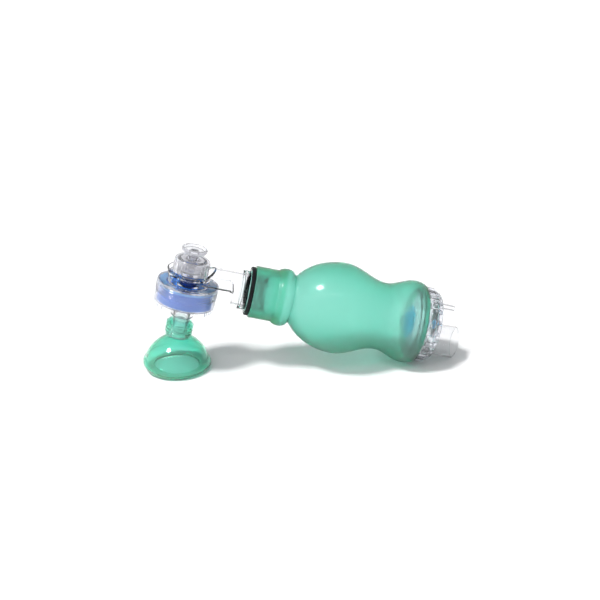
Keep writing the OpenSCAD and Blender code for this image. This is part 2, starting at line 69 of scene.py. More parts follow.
def where_axes_meet(first, second):
    """Point on the first joint's axis that is nearest to the second joint's axis."""
    a, b = axis_of(first), axis_of(second)
    gap = Vector(first["pos_m"]) - Vector(second["pos_m"])
    across = a.dot(b)
    along = (across * b.dot(gap) - a.dot(gap)) / (1 - across * across)
    return Vector(first["pos_m"]) + along * a


def placed(origin, x_axis, z_axis):
    """Matrix from local millimetres to the row frame."""
    y_axis = z_axis.cross(x_axis)
    turn = Matrix((x_axis, y_axis, z_axis)).transposed().to_4x4()
    return Matrix.Translation(origin) @ turn @ Matrix.Scale(MM, 4)


BAG_AXIS = axis_of(joints["valve_swivel"])
VALVE_AXIS = axis_of(joints["mask_swivel"])
CENTRE = where_axes_meet(joints["valve_swivel"], joints["mask_swivel"])
VALVE = placed(CENTRE, BAG_AXIS, VALVE_AXIS)
BAG = placed(CENTRE, -VALVE_AXIS, BAG_AXIS)
MASK = (Matrix.Translation((CENTRE.x - MASK_BACK * MM, 0, 0)) @ Matrix.Rotation(MASK_LEAN, 4, "Y")
        @ Matrix.Scale(MM, 4))

# ---- Mesh tools ----

# Sides of a turned piece, and the angle from which an edge stays sharp
SIDES = 160
CREASE = math.radians(28)
# Radius below which a point counts as on the axis
ON_AXIS = 1e-6
# A corner flatter than this isn't rounded, and a round corner takes at most this share of each side
FLAT_HALF_ANGLE = math.radians(87)
CORNER_SHARE = 0.48


def mesh_object(name, points, faces):
    """New object whose faces all point outwards."""
    mesh = bpy.data.meshes.new(name)
    mesh.from_pydata(points, [], faces)
    work = bmesh.new()
    work.from_mesh(mesh)
    bmesh.ops.recalc_face_normals(work, faces=work.faces)
    work.to_mesh(mesh)
    work.free()
    made = bpy.data.objects.new(name, mesh)
    bpy.context.scene.collection.objects.link(made)
    return made


def fillet(corners, radius=0.4, steps=4):
    """Rounds the corners of a closed outline. A corner may carry its own radius as a third value."""
    outline = []
    for i, corner in enumerate(corners):
        here = Vector(corner[:2])
        own = corner[2] if len(corner) > 2 else radius
        back = Vector(corners[i - 1][:2]) - here
        on = Vector(corners[(i + 1) % len(corners)][:2]) - here
        half = back.angle(on) / 2
        if own <= 0 or here.x < ON_AXIS or half > FLAT_HALF_ANGLE:
            outline.append(tuple(here))
            continue
        reach = min(own / math.tan(half), back.length * CORNER_SHARE, on.length * CORNER_SHARE)
        own = reach * math.tan(half)
        middle = here + (back.normalized() + on.normalized()).normalized() * (own / math.sin(half))
        start = here + back.normalized() * reach - middle
        turn = start.angle_signed(here + on.normalized() * reach - middle)
        for k in range(steps + 1):
            arm = Matrix.Rotation(-turn * k / steps, 2) @ start
            outline.append(tuple(middle + arm))
    return outline


def lathe(name, outline, sides=SIDES):
    """Solid made by turning a closed outline of (radius, height) around the local Z axis."""
    points, faces, rings = [], [], []
    for r, z in outline:
        count = 1 if r < ON_AXIS else sides
        rings.append([len(points) + k for k in range(count)])
        points += [(r * math.cos(math.tau * k / sides), r * math.sin(math.tau * k / sides), z)
                   for k in range(count)]
    for a, b in zip(rings, rings[1:] + rings[:1]):
        if len(a) == 1 and len(b) == 1:
            continue
        for k in range(sides):
            after = (k + 1) % sides
            face = [a[k % len(a)], a[after % len(a)], b[after % len(b)], b[k % len(b)]]
            faces.append(list(dict.fromkeys(face)))
    return mesh_object(name, points, faces)


def turned(name, corners, radius=0.4, sides=SIDES, steps=4):
    return lathe(name, fillet(corners, radius, steps), sides)


def rod(r, low, high, sides=SIDES):
    return lathe("rod", [(0, low), (r, low), (r, high), (0, high)], sides)


def block(low, high):
    """Box between two corners, as a cutting tool."""
    points = [(x, y, z) for x in (low[0], high[0]) for y in (low[1], high[1]) for z in (low[2], high[2])]
    faces = [(0, 1, 3, 2), (4, 6, 7, 5), (0, 4, 5, 1), (2, 3, 7, 6), (0, 2, 6, 4), (1, 5, 7, 3)]
    return mesh_object("block", points, faces)


def slab(outline, half_width):
    """Prism with the given (x, z) outline, standing across Y."""
    count = len(outline)
    points = [(x, y, z) for y in (-half_width, half_width) for x, z in outline]
    faces = [list(range(count)), list(range(count, 2 * count))]
    faces += [(k, (k + 1) % count, (k + 1) % count + count, k + count) for k in range(count)]
    return mesh_object("slab", points, faces)


def moved(piece, matrix):
    piece.data.transform(matrix)
    return piece


def turned_to_x(piece):
    """Turns a piece made around Z onto the X axis."""
    return moved(piece, Matrix.Rotation(math.pi / 2, 4, "Y"))


def apply_modifiers(piece):
    bpy.context.view_layer.update()
    evaluated = piece.evaluated_get(bpy.context.evaluated_depsgraph_get())
    mesh = bpy.data.meshes.new_from_object(evaluated)
    piece.modifiers.clear()
    piece.data = mesh
    return piece


def boolean(piece, operation, *tools):
    """Joins, cuts or intersects a piece with each tool, and removes the tools."""
    for tool in tools:
        change = piece.modifiers.new("change", "BOOLEAN")
        change.operation = operation
        change.solver = "MANIFOLD"
        change.object = tool
        apply_modifiers(piece)
        bpy.data.objects.remove(tool)
    return piece


def around(make, count):
    """Pieces that make() gives, evenly placed around Z."""
    return [moved(make(), Matrix.Rotation(math.tau * k / count, 4, "Z")) for k in range(count)]


def reshape(piece, rule):
    """Moves each point of a piece to rule(point)."""
    for v in piece.data.vertices:
        v.co = rule(v.co)
    return piece


def show(piece, place, body, slot, material, *nodes, crease=CREASE):
    """Places a finished piece, lets it ride on its body and hides the CAD nodes that it stands for."""
    piece.name = nodes[0] + "_form"
    piece.data.name = piece.name
    moved(piece, place)
    for face in piece.data.polygons:
        face.use_smooth = True
    piece.data.set_sharp_from_angle(angle=crease)
    piece.data.materials.clear()
    piece.data.materials.append(material)
    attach(piece, body)
    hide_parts(*nodes)
    return piece


# ---- Materials ----

def link(tree, source, target):
    tree.links.new(source, target)


def new_material(name):
    material = bpy.data.materials.new(name)
    material.use_nodes = True
    tree = material.node_tree
    shader = tree.nodes["Principled BSDF"]
    return material, tree, shader


def noise(tree, scale, detail=3.0, stretch=(1, 1, 1)):
    """Noise in the piece's own space, in waves per metre."""
    space = tree.nodes.new("ShaderNodeTexCoord")
    mapping = tree.nodes.new("ShaderNodeMapping")
    mapping.inputs["Scale"].default_value = stretch
    texture = tree.nodes.new("ShaderNodeTexNoise")
    texture.inputs["Scale"].default_value = scale
    texture.inputs["Detail"].default_value = detail
    link(tree, space.outputs["Object"], mapping.inputs["Vector"])
    link(tree, mapping.outputs["Vector"], texture.inputs["Vector"])
    return texture.outputs["Fac"]


def ramp(tree, source, *stops):
    """Colour ramp through (place, colour) stops."""
    node = tree.nodes.new("ShaderNodeValToRGB")
    while len(node.color_ramp.elements) < len(stops):
        node.color_ramp.elements.new(0.5)
    for element, (place, colour) in zip(node.color_ramp.elements, stops):
        element.position = place
        element.color = (*colour, 1)
    link(tree, source, node.inputs["Fac"])
    return node.outputs["Color"]


def scaled(tree, source, low, high):
    """Maps a 0 to 1 value onto low to high."""
    node = tree.nodes.new("ShaderNodeMapRange")
    node.inputs["To Min"].default_value = low
    node.inputs["To Max"].default_value = high
    link(tree, source, node.inputs["Value"])
    return node.outputs["Result"]


def bump(tree, shader, height, strength, distance):
    node = tree.nodes.new("ShaderNodeBump")
    node.inputs["Strength"].default_value = strength
    node.inputs["Distance"].default_value = distance
    link(tree, height, node.inputs["Height"])
    link(tree, node.outputs["Normal"], shader.inputs["Normal"])


def absorb(tree, colour, density):
    """Tint that grows with the depth of material that light passes."""
    volume = tree.nodes.new("ShaderNodeVolumeAbsorption")
    volume.inputs["Color"].default_value = (*colour, 1)
    volume.inputs["Density"].default_value = density
    link(tree, volume.outputs["Volume"], tree.nodes["Material Output"].inputs["Volume"])


# Sizes of the moulded patterns, in waves per metre, and the depth of the grain in metres
MOTTLE_SCALE, GLOSS_SCALE, GRAIN_SCALE = 35, 120, 700
GRAIN_DEPTH = 0.0002


def plastic(name, pale, deep, roughness, ior=1.5, clear=1.0, tint=None, density=0, grain=0.02, coat=0.0,
            coat_roughness=0.05):
    """Moulded plastic or silicone: mottled colour, uneven gloss and a fine moulded surface."""
    material, tree, shader = new_material(name)
    shader.inputs["IOR"].default_value = ior
    shader.inputs["Transmission Weight"].default_value = clear
    shader.inputs["Coat Weight"].default_value = coat
    shader.inputs["Coat Roughness"].default_value = coat_roughness
    mottle = noise(tree, MOTTLE_SCALE)
    link(tree, ramp(tree, mottle, (0.3, deep), (0.7, pale)), shader.inputs["Base Color"])
    gloss = noise(tree, GLOSS_SCALE)
    link(tree, scaled(tree, gloss, roughness * 0.75, roughness * 1.25), shader.inputs["Roughness"])
    bump(tree, shader, noise(tree, GRAIN_SCALE, 2.0), grain, GRAIN_DEPTH)
    if tint:
        absorb(tree, tint, density)
    return material


FAINT_GREY = (0.80, 0.82, 0.88)


def clear_plastic(name, roughness, ior):
    """Polished clear plastic. Shells inside each other have a low index, so that they don't turn dark."""
    return plastic(name, (0.995, 0.995, 1.0), (0.98, 0.98, 0.99), roughness, ior,
                   tint=FAINT_GREY, density=15)


CLEAR = clear_plastic("clear_plastic", 0.03, 1.5)
CLEAR_SLEEVE = clear_plastic("clear_sleeve_plastic", 0.05, 1.15)
CLEAR_HOUSING = clear_plastic("clear_housing_plastic", 0.03, 1.22)
CLEAR_RING = plastic("clear_ridged_plastic", (0.95, 0.96, 1.0), (0.90, 0.92, 0.99), 0.05, 1.45,
                     clear=0.92, tint=(0.75, 0.80, 0.95), density=30, grain=0.1)
CLEAR_FINS = plastic("clear_finned_plastic", (0.96, 0.97, 1.0), (0.92, 0.93, 0.98), 0.03, 1.5,
                     clear=0.94, tint=FAINT_GREY, density=15)
CLEAR_CAP = plastic("clear_textured_plastic", (0.98, 0.98, 1.0), (0.95, 0.95, 0.97), 0.15, 1.40,
                    clear=0.94, tint=(0.72, 0.73, 0.80), density=40, grain=0.25)
GREEN = plastic("green_silicone", (0.94, 0.93, 0.92), (0.90, 0.91, 0.90), 0.34, 1.15,
                clear=0.94, tint=(0.02, 0.86, 0.72), density=330, grain=0.04, coat=0.35, coat_roughness=0.13)
MASK_GREEN = plastic("mask_silicone", (0.97, 0.99, 0.98), (0.94, 0.98, 0.97), 0.14, 1.15,
                     clear=0.94, tint=(0.0, 0.90, 0.76), density=480, grain=0.03, coat=1.0)
COLLAR_GREEN = plastic("mask_collar_silicone", (0.97, 0.99, 0.98), (0.94, 0.98, 0.97), 0.12, 1.18,
                       clear=0.92, tint=(0.15, 0.88, 0.76), density=200, grain=0.03, coat=1.0)
BLUE = plastic("blue_plastic", (0.03, 0.29, 0.98), (0.02, 0.24, 0.93), 0.15,
               clear=0.1, tint=(0.30, 0.50, 0.95), density=100)
BRIGHT_BLUE = plastic("bright_blue_silicone", (0.20, 0.58, 1.0), (0.15, 0.50, 1.0), 0.3, clear=0.0)
DEEP_BLUE = plastic("deep_blue_silicone", (0.004, 0.05, 0.42), (0.003, 0.04, 0.34), 0.3, clear=0.0)
FLAP_BLUE = plastic("blue_silicone", (0.03, 0.56, 0.97), (0.02, 0.50, 0.92), 0.35, clear=0.0)
BLACK = plastic("black_rubber", (0.010, 0.011, 0.012), (0.005, 0.006, 0.006), 0.45, 1.2,
                clear=0.0, grain=0.3)
WHITE = plastic("white_silicone", (0.85, 0.86, 0.87), (0.80, 0.81, 0.83), 0.35, clear=0.3)


def spring_steel():
    """Drawn wire, tinted bluish by a painted reflection of the blue valve around it."""
    material, tree, shader = new_material("spring_steel")
    shader.inputs["Metallic"].default_value = 1.0
    drawn = noise(tree, 900, 2.0, stretch=(1, 1, 0.1))
    # The blue in both colours is a painted reflection of the valve around the wire, not the steel's own
    # colour
    link(tree, ramp(tree, drawn, (0.3, (0.30, 0.36, 0.58)), (0.7, (0.46, 0.52, 0.74))),
         shader.inputs["Base Color"])
    link(tree, scaled(tree, drawn, 0.18, 0.32), shader.inputs["Roughness"])
    bump(tree, shader, drawn, 0.1, 0.0001)
    return material


STEEL = spring_steel()

# ---- Pressure relief ----


def popoff_knob():
    piece = turned("knob", [
        (0, 12.6), (5, 12.6), (5, 14.4), (3.2, 14.4, 0.3), (3.2, 28.0, 0.9), (8.8, 28.3, 0.7),
        (9.4, 27.6, 0.3), (10.7, 27.6, 0.3), (12, 29.1, 0.7), (12, 32, 1.2), (9.6, 32, 0.7),
        (8.6, 30.5, 0.9), (0, 30.3)])
    show(piece, VALVE, "knob", "clear_plastic", CLEAR_CAP, "popoff_knob")


def popoff_cap():
    flutes, flute_depth = 18, 0.7
    inner_r, flute_top = 15.6, 20.6
    piece = turned("cap", [
        (11.1, 6.1, 0.2), (12.7, 6.1, 0.2), (12.7, 19.8, 0.6), (15.2, 19.8, 2.0), (15.2, 6.1, 0.2),
        (17, 6.1, 0.5), (17, 21.6, 3.5), (5.9, 21.6, 0.9), (5.2, 23.6, 0.5), (3.27, 23.6, 0.3),
        (3.27, 14.5, 0.2), (5.6, 14.5, 0.3), (5.6, 19.8, 0.5), (11.1, 19.8, 0.4)],
        sides=flutes * 14, steps=5)

    def fluted(p):
        """Presses flutes into the outer wall, which fade out towards the top."""
        r = math.hypot(p.x, p.y)
        if r < inner_r:
            return p
        flute = max(0.0, math.cos(flutes * math.atan2(p.y, p.x))) ** 2
        fade_up = min(1.0, max(0.0, (flute_top - p.z) / 3.0))
        fade_in = min(1.0, max(0.0, (r - inner_r) / 1.2))
        share = 1 - flute_depth * flute * fade_up * fade_in / r
        return Vector((p.x * share, p.y * share, p.z))

    reshape(piece, fluted)
    vents = around(lambda: block((14, -2, 5), (18, 2, 8.1)), 6)
    boolean(piece, "DIFFERENCE", *vents)
    show(piece, VALVE, "valve", "clear_plastic", CLEAR_CAP, "popoff_cap")


def popoff_spring():
    coils, steps, sides = 6, 40, 12
    coil_r, wire_r, low, high = 4.9, 0.45, 0.05, 12.0
    points, faces = [], []
    last = coils * steps
    for i in range(last + 1):
        turn = math.tau * i / steps
        z = low + (high - low) * i / last
        for k in range(sides):
            side = math.tau * k / sides
            r = coil_r + wire_r * math.cos(side)
            points.append((r * math.cos(turn), r * math.sin(turn), z + wire_r * math.sin(side)))
    for i in range(last):
        faces += [(i * sides + k, (i + 1) * sides + k, (i + 1) * sides + (k + 1) % sides,
                   i * sides + (k + 1) % sides) for k in range(sides)]
    faces += [range(sides), range(last * sides, (last + 1) * sides)]
    piece = show(mesh_object("spring", points, faces), VALVE, "valve", "spring_steel", STEEL,
                 "popoff_spring", crease=math.radians(50))
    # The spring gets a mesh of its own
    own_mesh(piece)


def popoff_poppet():
    piece = turned("poppet", [
        (0, -4.4), (7.6, -4.4), (7.6, -2.2), (6.2, -2.2), (6.2, -0.6), (3.6, -0.6, 0.2), (3.6, 1.4),
        (2.2, 1.4, 0.2), (2.2, 7.4, 0.8), (0, 7.4)])
    show(piece, VALVE, "poppet", "deep_blue_silicone", DEEP_BLUE, "popoff_poppet")


# ---- Patient valve ----

TUBE_R, TUBE_BORE = 16, 14.2
STEP_AT, TUBE_FLOOR, TUBE_END = 42, 0.6, 74
FLANGE_R, FLANGE_LOW, FLANGE_TOP = 27.4, -4.6, -2.7
BELL_LOW, RIM_Z = -2.6, 9.5
BELL_LOW_R, BELL_RIM_R, BELL_WALL = 18.5, 22.0, 1.8
DECK_LOW, DECK_TOP = 4.4, 6
CHIMNEY_R, CHIMNEY_BORE, SEAT_BORE = 11, 9.2, 5
SEAT_LOW, SEAT_TOP = -6, -4.5
SWIVEL_R = 18.7
# Height above the rim where the housing's cutting tools end
TOOL_TOP = 18


def bell_r(z):
    """Outer radius of the flaring bell at a height."""
    return BELL_LOW_R + (BELL_RIM_R - BELL_LOW_R) * (z - BELL_LOW) / (RIM_Z - BELL_LOW)


def bell(inset, low, high):
    """Solid that lies the inset inside the bell."""
    return lathe("bell", [(0, low), (bell_r(low) - inset, low), (bell_r(high) - inset, high), (0, high)])


def half_round(r, floor, corner):
    """Points (y, z) of a circle cut off at the floor height, with round lower corners."""
    corner_steps, arc_steps, quarter = 8, 40, math.pi / 2
    middle_y = math.sqrt((r - corner) ** 2 - (floor + corner) ** 2)
    middle_z = floor + corner
    turn = math.atan2(middle_z, middle_y)
    low_corner = [(middle_y + corner * math.cos(a), middle_z + corner * math.sin(a))
                  for a in ((quarter + turn) * k / corner_steps - quarter for k in range(corner_steps + 1))]
    arc = [(r * math.cos(a), r * math.sin(a))
           for a in (turn + (quarter - turn) * k / arc_steps for k in range(1, arc_steps + 1))]
    half = low_corner + arc
    return half + [(-y, z) for y, z in reversed(half[:-1])]


def tube(r, start, floor, step_at, end, lead):
    """Half-round passage over the locking ring, and the full tube from a little before its rounded step."""
    inside, reach = 6, 20
    section = half_round(r, floor, 2.0)
    passage = slab([(-y, z) for y, z in section], (step_at + inside - start) / 2)
    middle = Matrix.Translation(((step_at + inside + start) / 2, 0, 0))
    moved(passage, middle @ Matrix.Rotation(math.pi / 2, 4, "Z"))
    # A hair above the passage's floor, so that no two faces lie in one plane
    above = floor + 0.01
    before = step_at - lead - 1
    outline = fillet([(before, above, 0), (step_at - lead, above, 0), (step_at, floor, lead),
                      (step_at, -reach, 0), (end + 1, -reach, 0), (end + 1, reach, 0),
                      (before, reach, 0)], steps=8)
    full = boolean(turned_to_x(rod(r, step_at - lead, end)), "INTERSECT", slab(outline, reach))
    return boolean(passage, "UNION", full)


def groove(low, high):
    """Ring-shaped cutting tool for a groove round the tube, on the X axis."""
    bottom_r, outside_r = 14.9, 17
    corners = [(bottom_r, low), (outside_r, low), (outside_r, high), (bottom_r, high)]
    return turned_to_x(turned("groove", corners, 0))


def upper_housing():
    floor_wall, step_wall = 0.8, 1.0
    piece = turned("housing", [
        (0, FLANGE_LOW), (FLANGE_R, FLANGE_LOW), (FLANGE_R, FLANGE_TOP, 0.5),
        (bell_r(FLANGE_TOP), FLANGE_TOP, 1.2), (bell_r(RIM_Z), RIM_Z, 0.7), (0, RIM_Z)])
    collar = turned_to_x(turned("collar", [
        (0, 48.6), (SWIVEL_R, 48.6, 0.5), (SWIVEL_R, 50.4, 0.5), (0, 50.4)]))
    boolean(piece, "UNION", tube(TUBE_R, CHIMNEY_R, TUBE_FLOOR, STEP_AT, TUBE_END, 3.5), collar)
    cup = boolean(bell(BELL_WALL, DECK_TOP, TOOL_TOP), "DIFFERENCE",
                  rod(CHIMNEY_R, DECK_TOP - 1, RIM_Z))
    chamber = boolean(bell(BELL_WALL, FLANGE_LOW - 1, DECK_LOW), "DIFFERENCE",
                      rod(CHIMNEY_R, FLANGE_LOW - 2, DECK_TOP))
    bore = boolean(tube(TUBE_BORE, 13, TUBE_FLOOR + floor_wall, STEP_AT + step_wall, TUBE_END + 1, 3.0),
                   "DIFFERENCE", bell(0, DECK_LOW, TOOL_TOP))
    chimney = rod(CHIMNEY_BORE, SEAT_TOP, TOOL_TOP)
    boolean(piece, "DIFFERENCE", cup, chamber, bore, chimney, rod(SEAT_BORE, SEAT_LOW, 0),
            groove(65, 67), groove(70.5, 72.5))
    seat = turned("seat", [(SEAT_BORE, SEAT_LOW), (CHIMNEY_R, SEAT_LOW), (CHIMNEY_R, -3.6, 0),
                           (CHIMNEY_BORE, -3.6, 0), (CHIMNEY_BORE, SEAT_TOP), (SEAT_BORE, SEAT_TOP)])
    boolean(piece, "UNION", seat)
    show(piece, VALVE, "valve", "clear_plastic", CLEAR_HOUSING, "upper_housing")


def valve_carrier():
    piece = turned("carrier", [
        (9.5, -6.0), (10.7, -6.0), (10.7, -6.8, 0.2), (27.4, -6.8), (27.4, -8.6), (26.2, -8.6),
        (26.2, -14.6), (27.3, -14.6), (27.3, -21.2), (25.6, -21.2), (25.6, -8.6, 0.2), (9.5, -8.5)])
    show(piece, VALVE, "valve", "blue_plastic", BLUE, "valve_carrier")


def lip_valve():
    piece = turned("lip", [
        (0, -13.7), (2.0, -13.7), (5.0, -8.7, 0.8), (8.5, -8.7, 0.4), (9.5, -9.1, 0.6), (16, -9.1, 0.6),
        (18, -8.7), (18, -9.9), (6, -9.9, 0.8), (2.5, -14.9), (0, -14.9)])
    show(piece, VALVE, "lip", "deep_blue_silicone", DEEP_BLUE, "lip_valve")


def locking_ring():
    ring_r, ridge_r, first, step, ridges = 28.8, 0.5, -4.8, 2.4, 4
    corners = [(24.6, -21.5), (24.6, -22.7), (ring_r, -22.7, 0.6)]
    for i in reversed(range(ridges)):
        z = first - i * step
        corners += [(ring_r, z - ridge_r, 0.1), (ring_r + ridge_r, z, 0.35), (ring_r, z + ridge_r, 0.1)]
    corners += [(ring_r, -2.6, 0.5), (27.5, -2.6, 0.3), (27.5, -21.5, 0.4)]
    piece = turned("locking", corners, 0.3, sides=200)
    tooth_pitch, tooth_half_width = 14, 1
    tooth = fillet([(27.2, -26.1, 0.5), (28.7, -26.1, 0.5), (28.7, -22, 0), (27.2, -22, 0)])
    for side in (0, 180):
        for i in range(-3, 4):
            turn = Matrix.Rotation(math.radians(side + i * tooth_pitch), 4, "Z")
            boolean(piece, "UNION", moved(slab(tooth, tooth_half_width), turn))
    show(piece, VALVE, "valve", "clear_plastic", CLEAR_RING, "locking_ring")


def lower_housing():
    piece = turned("lower", [
        (7.57, -36.5, 0.4), (11, -36.5, 0.5), (11.1, -27.4), (11.8, -27, 0.3), (14, -21.3, 0.5),
        (25.4, -21.3, 0.3), (25.4, -14.8, 0.3), (24.1, -14.8, 0.3), (24.1, -19.4, 0.5),
        (12.6, -19.4, 0.8), (11, -15.3, 1), (13, -11.3, 0.3), (11.6, -11.3, 0.3), (7.57, -14.4, 0.6)])
    exhaust_windows = around(lambda: block((16, -4, -23), (22, 4, -17)), 6)
    boolean(piece, "DIFFERENCE", *exhaust_windows)
    show(piece, VALVE, "valve", "clear_plastic", CLEAR, "lower_housing")


# ---- Swivel and neck ----


def neck_connector():
    piece = turned("connector", [
        (16.07, 50.6, 0.3), (SWIVEL_R, 50.6, 0.6), (SWIVEL_R, 56, 0.2), (21, 56, 0.4), (21, 85, 0.6),
        (18.07, 85, 0.4), (18.07, 75, 0.2), (16.07, 75, 0.3)])
    show(piece, BAG, "bag", "clear_plastic", CLEAR_SLEEVE, "neck_connector")


def neck_oring():
    piece = turned("oring", [(21.12, 56.1), (23.3, 56.1, 1.1), (23.3, 60.3, 1.1), (21.12, 60.3)],
                   0.5, steps=8)
    show(piece, BAG, "bag", "black_rubber", BLACK, "neck_oring")


# ---- Bag ----

NECK_R, BEAD_R, GROOVE_R, BALL_R, WAIST_R, BULGE_R = 24.8, 27.6, 22.9, 44, 32.8, 40.4
# Distances from the valve axis
NECK_START, BEAD_AT, GROOVE_AT, BALL_AT = 60.4, 89.8, 99, 145.6
WAIST_AT, BULGE_AT, BAG_END = 187.5, 216, 225.5
BEAD_HALF, BALL_HALF, BAG_WALL, BULGE_DROP = 8, 53.5, 2.4, 2.4
NECK_BORE, NECK_BORE_END, REAR_LIP_R, REAR_LIP, REAR_EDGE = 21.2, 86, 31.2, 3, 2
BAG_STEP = 0.8


def ellipse_r(r, half, at, u):
    """Radius at u of an ellipse with its middle at the given place."""
    return r * math.sqrt(max(0.0, 1 - ((u - at) / half) ** 2))


def wave(a, b, share):
    """Goes from a to b along half a cosine wave."""
    return a + (b - a) * (1 - math.cos(math.pi * share)) / 2


def larger(a, b, soft):
    """The larger of two values, with a soft change from one to the other."""
    return (a + b + math.sqrt((a - b) ** 2 + soft * soft)) / 2


def bag_r(u):
    """Outer radius of the bag at distance u from the valve axis."""
    bead = GROOVE_R + ellipse_r(BEAD_R - GROOVE_R, BEAD_HALF, BEAD_AT, u)
    ball = ellipse_r(BALL_R, BALL_HALF, BALL_AT, u)
    if u < BEAD_AT:
        return larger(NECK_R, bead, 0.3)
    if u < BALL_AT:
        return larger(bead, ball, 0.8) if u < GROOVE_AT + 2 else ball
    if u < WAIST_AT:
        return wave(BALL_R, WAIST_R, (u - BALL_AT) / (WAIST_AT - BALL_AT))
    if u < BULGE_AT:
        return wave(WAIST_R, BULGE_R, (u - WAIST_AT) / (BULGE_AT - WAIST_AT))
    return BULGE_R - BULGE_DROP * ((u - BULGE_AT) / (BAG_END - BULGE_AT)) ** 2


def steps_between(start, end, step):
    """Evenly spaced values from start to end, about a step apart."""
    count = max(1, round(abs(end - start) / step))
    return [start + (end - start) * i / count for i in range(count + 1)]


def bag():
    outer = [(bag_r(u), u) for u in steps_between(NECK_START + 1, BAG_END - REAR_EDGE, BAG_STEP)]
    last_r = outer[-1][0]
    rear = [(last_r - REAR_EDGE * (1 - math.cos(a)), BAG_END - REAR_EDGE * (1 - math.sin(a)))
            for a in (math.radians(15 * k) for k in range(1, 7))]
    lip = [(REAR_LIP_R, BAG_END), (REAR_LIP_R, BAG_END - REAR_LIP)]
    mouth = [(NECK_BORE, NECK_BORE_END), (NECK_BORE, NECK_START), (NECK_R - 0.5, NECK_START),
             (NECK_R, NECK_START + 0.4)]
    inner = [(bag_r(u) - BAG_WALL, u)
             for u in steps_between(BAG_END - REAR_LIP, NECK_BORE_END + 4, BAG_STEP)]
    piece = lathe("bag", mouth + outer + rear + lip + inner, 192)
    show(piece, BAG, "bag", "green_silicone", GREEN, "bag", crease=math.radians(40))


# ---- Inlet end ----


def inlet_body():
    piece = turned("inlet", [
        (0, 218.5), (31.1, 218.5, 0.5), (31.1, 220.1, 0), (34, 220.1, 0.3), (34, 221.7, 0.3),
        (31.1, 221.7, 0.2), (31.1, 235.5, 0.3), (29.3, 235.5, 0.3), (29.3, 220.5, 0.6), (0, 220.5)])
    windows = around(lambda: moved(rod(3.4, 216, 222, 48), Matrix.Translation((9, 0, 0))), 6)
    pin_hole = rod(2, 216, 222, 48)
    boolean(piece, "DIFFERENCE", pin_hole, *windows)
    show(piece, BAG, "bag", "clear_plastic", CLEAR_SLEEVE, "inlet_body")


def inlet_flap():
    piece = turned("flap", [
        (2.07, 214.0, 0.2), (8.2, 214.0, 0.8), (9, 217.0, 0.6), (15, 217.0, 0.5), (16, 217.6, 0.3),
        (16, 218.4, 0.3), (2.07, 218.4, 0.2)])
    show(piece, BAG, "flap", "blue_silicone", FLAP_BLUE, "inlet_flap")


def inlet_flap_pin():
    piece = turned("pin", [
        (0, 209.1), (4.2, 209.1, 0.7), (4.2, 210.7, 0.4), (1.98, 210.7, 0.3), (1.98, 220.51, 0),
        (3.4, 220.51, 0.2), (3.4, 221.7, 0.5), (0, 221.7)])
    show(piece, BAG, "bag", "clear_plastic", CLEAR, "inlet_flap_pin")


def retaining_ring():
    """Ring with pockets cut from its side and its rear cone, which leave the fins."""
    ring_r, fins, pocket_share, pocket_depth, behind = 36.8, 20, 0.62, 2, 244
    piece = turned("retaining", [
        (31.2, 225.6, 0.3), (ring_r, 225.6, 0.7), (ring_r, 234, 1.0), (33, 240.2, 0.8), (30.5, 240.2, 0.4),
        (30.5, 239, 0.3), (31.2, 239, 0.2)], sides=fins * 12)
    half = ring_r * math.sin(math.pi / fins) * pocket_share
    bottom_r, outside_r = ring_r - pocket_depth, ring_r + pocket_depth
    pocket = fillet([(bottom_r, 227.2, 0.5), (outside_r, 227.2, 0), (outside_r, behind, 0),
                     (bottom_r, behind, 0)])
    side_pockets = around(lambda: slab(pocket, half), fins)
    cone_pockets = around(lambda: block((32.6, -half, 234.8), (39, half, behind)), fins)
    boolean(piece, "DIFFERENCE", *side_pockets, *cone_pockets)
    show(piece, BAG, "bag", "clear_plastic", CLEAR_FINS, "retaining_ring")


PLATE_FRONT, PLATE_BACK = 235.6, 237.8
PORT_PLACE = Matrix.Translation((12.9, 0, 0))
NIPPLE_PLACE = Matrix.Translation((-22, 0, 0))


def vent_place(side):
    """Middle of one of the two vents of the rear plate."""
    return Matrix.Translation((-9, side * 19, 0))


def reservoir_adapter():
    before, port_end = PLATE_FRONT - 1.6, 267
    piece = turned("adapter", [
        (0, PLATE_FRONT), (31.1, PLATE_FRONT, 0.4), (31.1, PLATE_BACK, 0.4), (0, PLATE_BACK)])
    port = turned("port", [
        (0, PLATE_FRONT), (16.5, PLATE_FRONT), (16.5, 242.2, 0.4), (16, 242.6, 0.4),
        (16, port_end, 0.6), (0, port_end)])
    boss = turned("boss", [(0, PLATE_FRONT), (4.5, PLATE_FRONT), (4.5, 242.2, 0.5), (0, 242.2)], sides=64)
    boolean(piece, "UNION", moved(port, PORT_PLACE), moved(boss, NIPPLE_PLACE))
    bore = turned("bore", [
        (0, before), (14.2, before, 0), (14.2, port_end - 1.2, 0.5), (15.2, port_end + 1, 0),
        (0, port_end + 1)])
    boss_bore = rod(2.22, before, 243, 64)
    boolean(piece, "DIFFERENCE", moved(bore, PORT_PLACE), moved(boss_bore, NIPPLE_PLACE))
    for side in (-1, 1):
        off_middle = Matrix.Translation((2.8, 0, 0))
        holes = around(lambda: moved(rod(0.9, before, 240, 24), off_middle), 4)
        holes.insert(0, rod(1, before, 240, 24))
        boolean(piece, "DIFFERENCE", *[moved(hole, vent_place(side)) for hole in holes])
    show(piece, BAG, "bag", "clear_plastic", CLEAR, "reservoir_adapter")


def oxygen_nipple():
    piece = turned("nipple", [
        (1.5, PLATE_FRONT, 0.1), (2.2, PLATE_FRONT, 0.1), (2.2, 242.3, 0), (2.9, 242.3, 0.1),
        (2.9, 255.6, 0.6), (2.3, 257.3, 0.3), (1.5, 257.3, 0.3)], sides=64)
    show(moved(piece, NIPPLE_PLACE), BAG, "bag", "clear_plastic", CLEAR, "oxygen_nipple")


